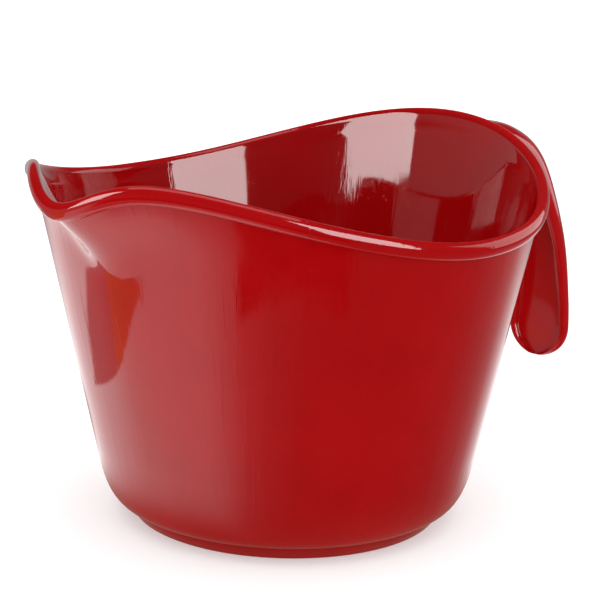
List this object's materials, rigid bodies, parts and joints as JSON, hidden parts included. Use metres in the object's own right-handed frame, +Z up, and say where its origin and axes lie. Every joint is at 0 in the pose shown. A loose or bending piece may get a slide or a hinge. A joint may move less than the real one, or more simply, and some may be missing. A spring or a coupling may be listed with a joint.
{
  "type": "mixing bowl",
  "caption": "Deep red plastic mixing bowl with a wavy rolled rim, a pouring lip on one side and a hooked handle opposite.",
  "frame": {"origin": "centre of the bounding box, on the plane the bowl stands on; the bowl's own axis is at x = -0.0278", "axes": "+X from the pouring lip to the handle, +Z up, symmetric about the XZ plane"},
  "size_m": [0.3056, 0.2056, 0.1557],
  "materials": {
    "red_shell": "gloss",
    "red_handle": "gloss",
    "red_base": "satin"
  },
  "bodies": {
    "root": {"bowl_shell": "red_shell", "handle": "red_handle", "base_ring": "red_base"}
  },
  "joints": []
}
